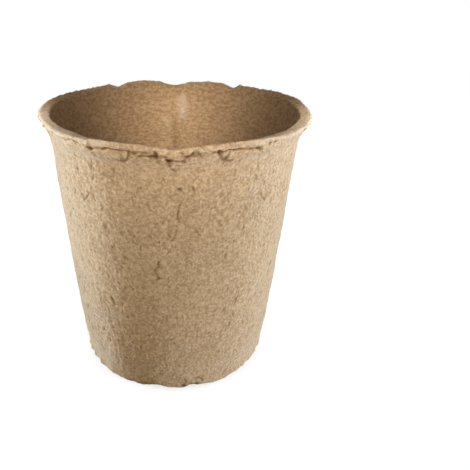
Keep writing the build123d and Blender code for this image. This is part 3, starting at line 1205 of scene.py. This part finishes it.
def add_lamps():
    """Large soft lamps round the pot, and small ones on its mouth, shoulder and lip."""
    for name, turn, power, spread, aim_level, colour in LAMPS:
        lamp = new_lamp("AREA", name, power, colour)
        lamp.shape = "RECTANGLE"
        lamp.size = LAMP_WIDTH * MM
        lamp.size_y = LAMP_HEIGHT * MM
        lamp.spread = math.radians(spread)
        angle = math.radians(turn)
        place = (LAMP_DISTANCE * math.sin(angle), -LAMP_DISTANCE * math.cos(angle), LAMP_LEVEL)
        place_and_aim(lamp, place, (0, 0, aim_level))
    for name, place, aim, power, radius, cone, softness, colour in SPOT_LAMPS:
        lamp = new_lamp("SPOT", name, power, colour)
        lamp.shadow_soft_size = radius * MM
        lamp.spot_size = math.radians(cone)
        lamp.spot_blend = softness
        place_and_aim(lamp, place, aim)


def seen_directly(graph):
    """1 for rays that show the background or its mirror image, 0 for rays that light things."""
    path = graph.node("ShaderNodeLightPath", {}, {}, "Is Camera Ray")
    mirrored = graph.sum("MAXIMUM", path.out("Is Glossy Ray"), path.out("Is Transmission Ray"))
    return graph.sum("MAXIMUM", path, mirrored)


# Surroundings: white where they are seen, and the share of that which lights the pot
WHITE = (1, 1, 1, 1)
WORLD_LEVEL = 0.02


def add_world():
    """White surroundings that light the pot softly."""
    world = bpy.data.worlds.new("studio")
    world.use_nodes = True
    world.node_tree.nodes.clear()
    graph = Graph(world.node_tree)
    light = graph.node("ShaderNodeBackground", {}, {"Color": WHITE, "Strength": WORLD_LEVEL})
    white = graph.node("ShaderNodeBackground", {}, {"Color": WHITE, "Strength": 1.0})
    mixed = graph.node("ShaderNodeMixShader", {}, {0: seen_directly(graph), 1: light, 2: white})
    graph.node("ShaderNodeOutputWorld", {}, {"Surface": mixed})
    bpy.context.scene.world = world


# Floor: side, share of its plain white, and the lamp overhead that lights the floor alone
FLOOR_SIDE = 3000.0
FLOOR_WHITE_SHARE = 0.72
FLOOR_WHITE = (0.9, 0.9, 0.9, 1)
FLOOR_DIM = (0.1, 0.1, 0.1, 1)
FLOOR_LAMP_POWER = 3.5
FLOOR_LAMP_SPREAD = 110.0


def add_floor():
    """Pale floor that takes the pot's soft shadow and throws little light back."""
    half = FLOOR_SIDE / 2 * MM
    corners = [(-half, -half, 0), (half, -half, 0), (half, half, 0), (-half, half, 0)]
    mesh = bpy.data.meshes.new("floor")
    mesh.from_pydata(corners, [], [(0, 1, 2, 3)])
    material, graph = shader("pale_floor")
    dim = graph.node("ShaderNodeBsdfDiffuse", {}, {"Color": FLOOR_DIM})
    matt = graph.node("ShaderNodeBsdfDiffuse", {}, {"Color": FLOOR_WHITE})
    white = graph.node("ShaderNodeEmission", {}, {"Color": WHITE, "Strength": 1.0})
    shown = graph.node("ShaderNodeMixShader", {}, {0: FLOOR_WHITE_SHARE, 1: matt, 2: white})
    mixed = graph.node("ShaderNodeMixShader", {}, {0: seen_directly(graph), 1: dim, 2: shown})
    graph.node("ShaderNodeOutputMaterial", {}, {"Surface": mixed})
    mesh.materials.append(material)
    floor = add_object("floor", mesh)
    lit = bpy.data.collections.new("floor_alone")
    lit.objects.link(floor)
    lamp = bpy.data.lights.new("floor_lamp", "SUN")
    lamp.energy = FLOOR_LAMP_POWER
    lamp.angle = math.radians(FLOOR_LAMP_SPREAD)
    holder = add_object("floor_lamp", lamp)
    holder.light_linking.receiver_collection = lit


def rows_of(span, first, last):
    """Rings from the start of one stretch to the end of another."""
    return list(range(span[first][0], span[last][1] + 1))


def wall_rows(span, points, upper):
    """Rings of the upper or lower half of the side wall, outside then inside."""
    rows = []
    for part in ("wall_outer", "wall_inner"):
        stretch = rows_of(span, part, part)
        levels = points[stretch][..., 2].mean(axis=1) / MM
        split = int(np.argmin(np.abs(levels - wall_middle)))
        keep_end = upper == (part == "wall_outer")
        rows += stretch[split:] if keep_end else stretch[: split + 1]
    return rows


def place_piece(piece, node=None):
    """Ties a piece to the pot, in place of a solid if one is named."""
    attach(piece, "root")
    if node:
        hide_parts(node)


def build_pot():
    """The pot's zones, each in place of its solid, and the fibres on its surface."""
    pulp = make_pulp()
    emitter, shell, span = make_shell(pulp)
    points = shell[0]
    base_rows = rows_of(span, "standing_face", "heel") + rows_of(span, "heel_inner", "drain")
    zones = {
        "pulp_base": ("base", base_rows),
        "pulp_wall_lower": ("side_wall", wall_rows(span, points, False)),
        "pulp_wall_upper": ("side_wall", wall_rows(span, points, True)),
        "pulp_rim": ("rim", rows_of(span, "collar_outer", "collar_inner")),
    }
    for name, (node, rows) in zones.items():
        place_piece(make_zone(name, rows, shell, pulp), node)
    run_tree(emitter, fibre_tree(make_fibre()), {"Density": FIBRE_DENSITY})
    emitter.name = "surface_fibres"
    place_piece(emitter)


bpy.context.scene.view_settings.view_transform = "Standard"
add_camera()
add_world()
add_floor()
add_lamps()
build_pot()

bpy.context.view_layer.update()
